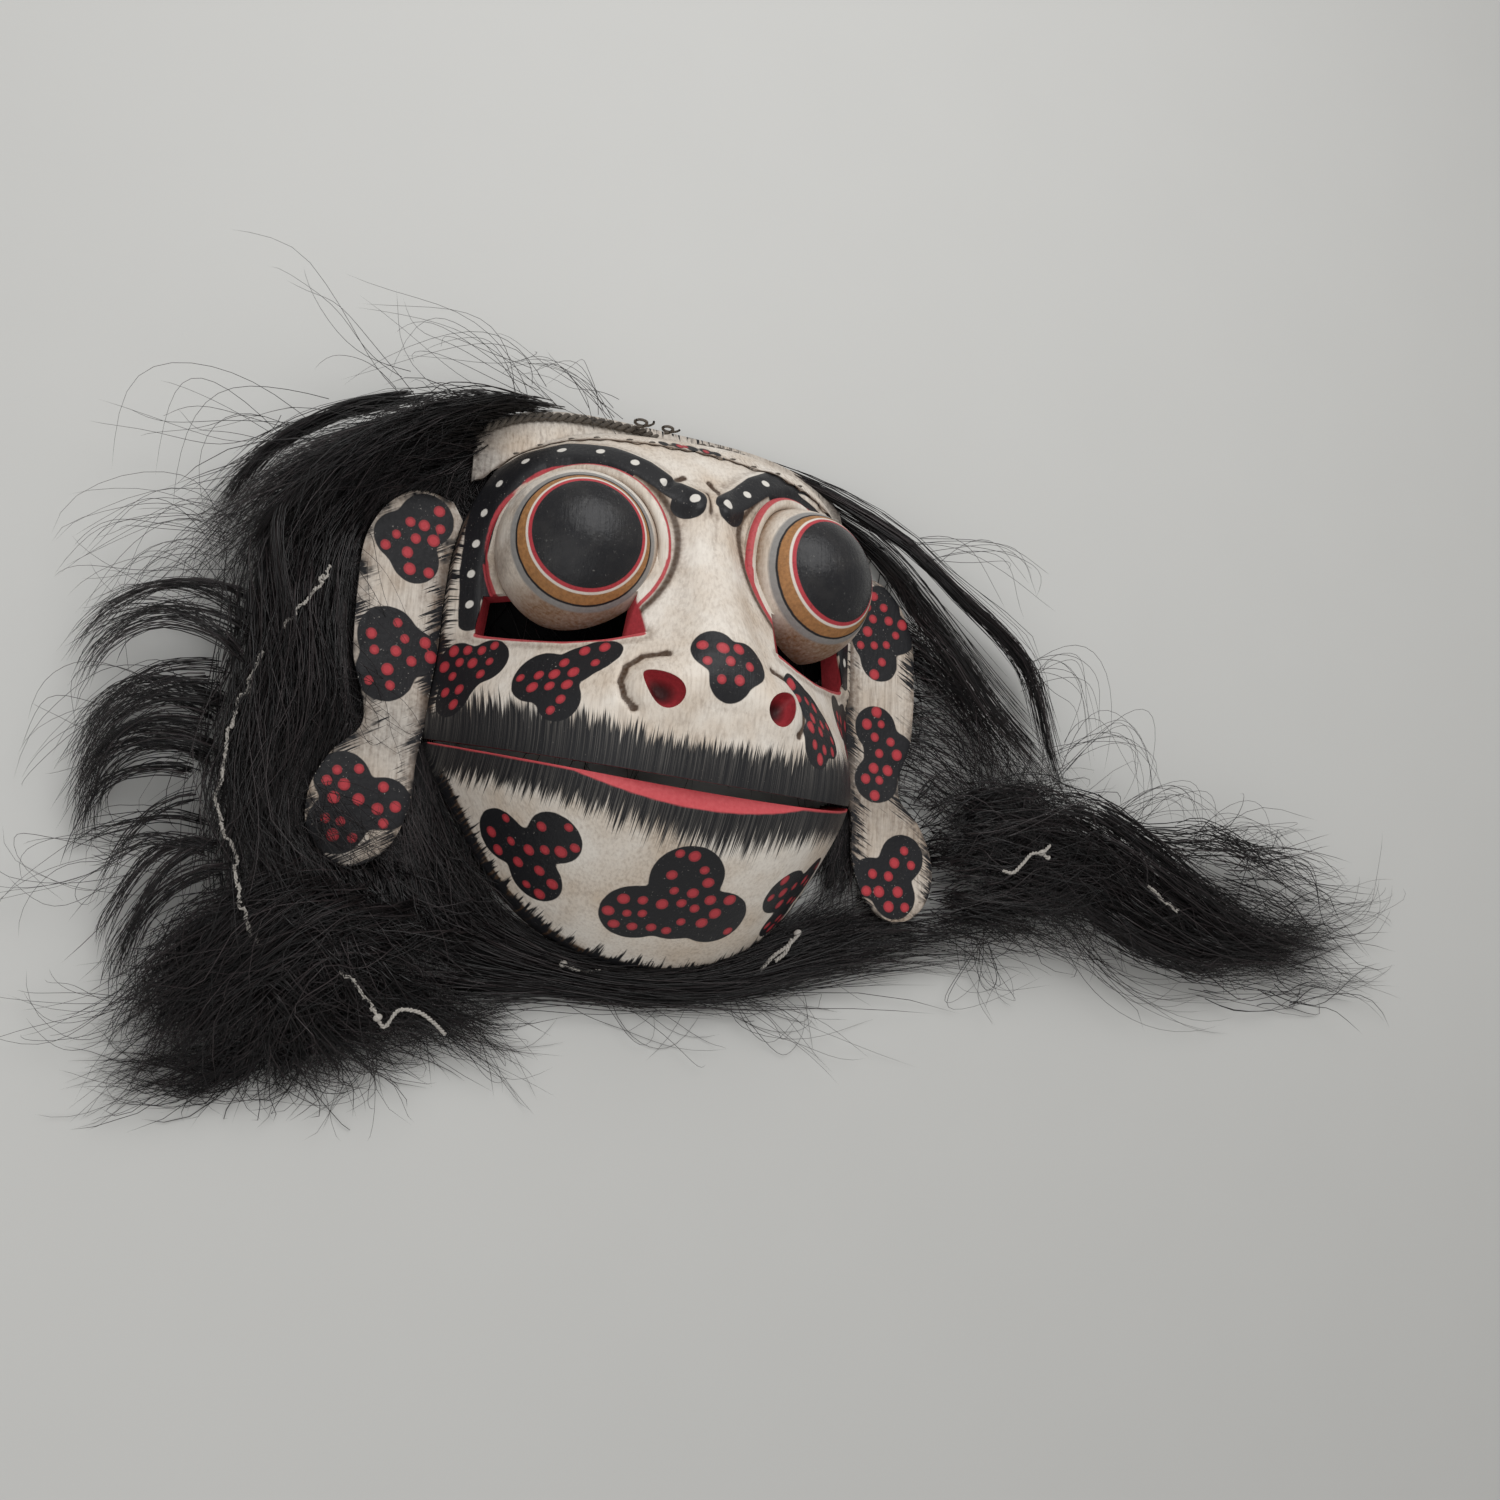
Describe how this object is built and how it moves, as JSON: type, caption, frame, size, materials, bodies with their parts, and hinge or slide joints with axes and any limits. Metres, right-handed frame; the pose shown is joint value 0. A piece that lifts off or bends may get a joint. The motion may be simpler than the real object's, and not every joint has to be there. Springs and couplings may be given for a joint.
{
  "type": "frog dance mask",
  "caption": "Carved and painted wooden frog mask with bulging eyes, a hinged lower jaw, flat hide ears and long black hair, lying on its back rim.",
  "frame": {"origin": "under the middle of the whole part, hair included, on the surface that the mask lies on", "axes": "+Z out of the face, +Y towards the crown, +X to the right as the face is seen"},
  "size_m": [0.6038, 0.2932, 0.0879],
  "materials": {
    "painted_wood": "antiqued cream paint with black, red and ochre decoration, satin varnish",
    "painted_hide": "thin stiff hide, painted cream with black patches and red dots, worn",
    "bound_cord": "twisted cotton and hair cord, matt",
    "hair": "long straight black hair, soft sheen"
  },
  "bodies": {
    "mask": {"face": "painted_wood", "ear_left": "painted_hide", "ear_right": "painted_hide", "crown_band": "painted_hide", "hair_cord": "bound_cord", "hair_left": "hair", "hair_chin": "hair", "hair_right": "hair"},
    "jaw": {"jaw": "painted_wood"}
  },
  "joints": [
    {"name": "jaw_hinge", "type": "hinge", "parent": "mask", "child": "jaw", "pos_m": [-0.09209, -0.01191, 0], "axis": [0.9998, -0.0197, 0], "range_deg": [0, 14]}
  ]
}
